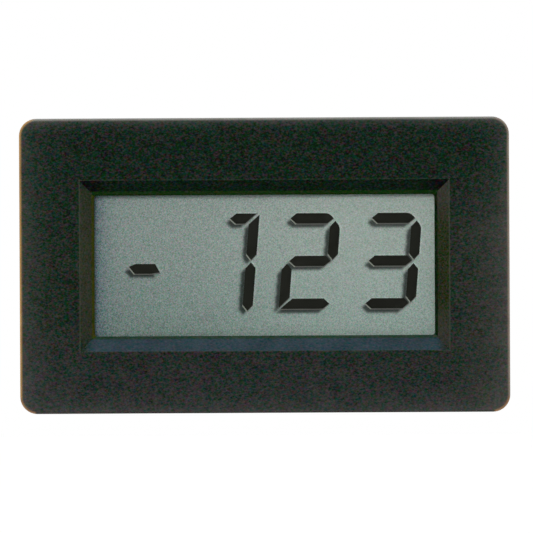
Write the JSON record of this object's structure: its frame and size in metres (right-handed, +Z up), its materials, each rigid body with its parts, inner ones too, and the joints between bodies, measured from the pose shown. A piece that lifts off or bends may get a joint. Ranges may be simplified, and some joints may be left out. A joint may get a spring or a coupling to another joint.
{
  "type": "digital panel meter",
  "caption": "Digital panel meter: black bezel with a sloping window frame, grey reflective display with slanted seven-segment figures, open-backed tub held by slide-on clips.",
  "frame": {"origin": "centre of the flange's back face, which lies on the front surface of the panel", "axes": "+X to the right and +Z up as read from the front, +Y back through the panel"},
  "size_m": [0.065, 0.0162, 0.0392],
  "materials": {
    "bezel_plastic": "fine spark-textured black moulding",
    "clip_plastic": "plain black moulding",
    "polariser_film": "matt anti-glare film",
    "display_glass": "clear thin plate",
    "seal_resin": "cured edge seal",
    "dark_segment": "lit segment, near black",
    "reflector_film": "grey-green diffuse reflector",
    "frame_plastic": "plain black moulding",
    "contact_rubber": "layered silicone strip",
    "board_laminate": "glass-fibre board under green lacquer",
    "screw_steel": "zinc-plated",
    "chip_resin": "moulded black resin",
    "tinned_wire": "tinned",
    "trimmer_plastic": "blue moulding",
    "rotor_plastic": "off-white moulding",
    "capacitor_box": "red moulded box",
    "disc_coating": "dipped ochre coating",
    "resistor_coating": "beige lacquer"
  },
  "bodies": {
    "meter": {"housing": "bezel_plastic", "front_polariser": "polariser_film", "front_glass": "display_glass", "cell_seal": "seal_resin", "minus_sign": "dark_segment", "figure_one": "dark_segment", "figure_two": "dark_segment", "figure_three": "dark_segment", "rear_glass": "display_glass", "reflector": "reflector_film", "strip_frame": "frame_plastic", "top_contact_strip": "contact_rubber", "bottom_contact_strip": "contact_rubber", "circuit_board": "board_laminate", "board_screws": "screw_steel", "chip_body": "chip_resin", "chip_pins": "tinned_wire", "trimmer_body": "trimmer_plastic", "trimmer_leads": "tinned_wire", "integrating_capacitor": "capacitor_box", "integrating_capacitor_leads": "tinned_wire", "zeroing_capacitor": "capacitor_box", "zeroing_capacitor_leads": "tinned_wire", "reference_capacitor": "capacitor_box", "reference_capacitor_leads": "tinned_wire", "disc_capacitor": "disc_coating", "disc_capacitor_leads": "tinned_wire", "input_resistor": "resistor_coating", "input_resistor_leads": "tinned_wire", "clock_resistor": "resistor_coating", "clock_resistor_leads": "tinned_wire", "reference_resistor": "resistor_coating", "reference_resistor_leads": "tinned_wire"},
    "left_clip_body": {"left_clip": "clip_plastic"},
    "right_clip_body": {"right_clip": "clip_plastic"},
    "rotor_body": {"trimmer_rotor": "rotor_plastic"}
  },
  "joints": [
    {"name": "left_clip_slide", "type": "slide", "parent": "meter", "child": "left_clip_body", "axis": [0, 1, 0], "range_m": [-0.002, 0.0076]},
    {"name": "right_clip_slide", "type": "slide", "parent": "meter", "child": "right_clip_body", "axis": [0, 1, 0], "range_m": [-0.002, 0.0076]},
    {"name": "trimmer_turn", "type": "hinge", "parent": "meter", "child": "rotor_body", "pos_m": [0.0214, 0.012, -0.00957], "axis": [0, 1, 0], "range_deg": [-130, 130]}
  ]
}
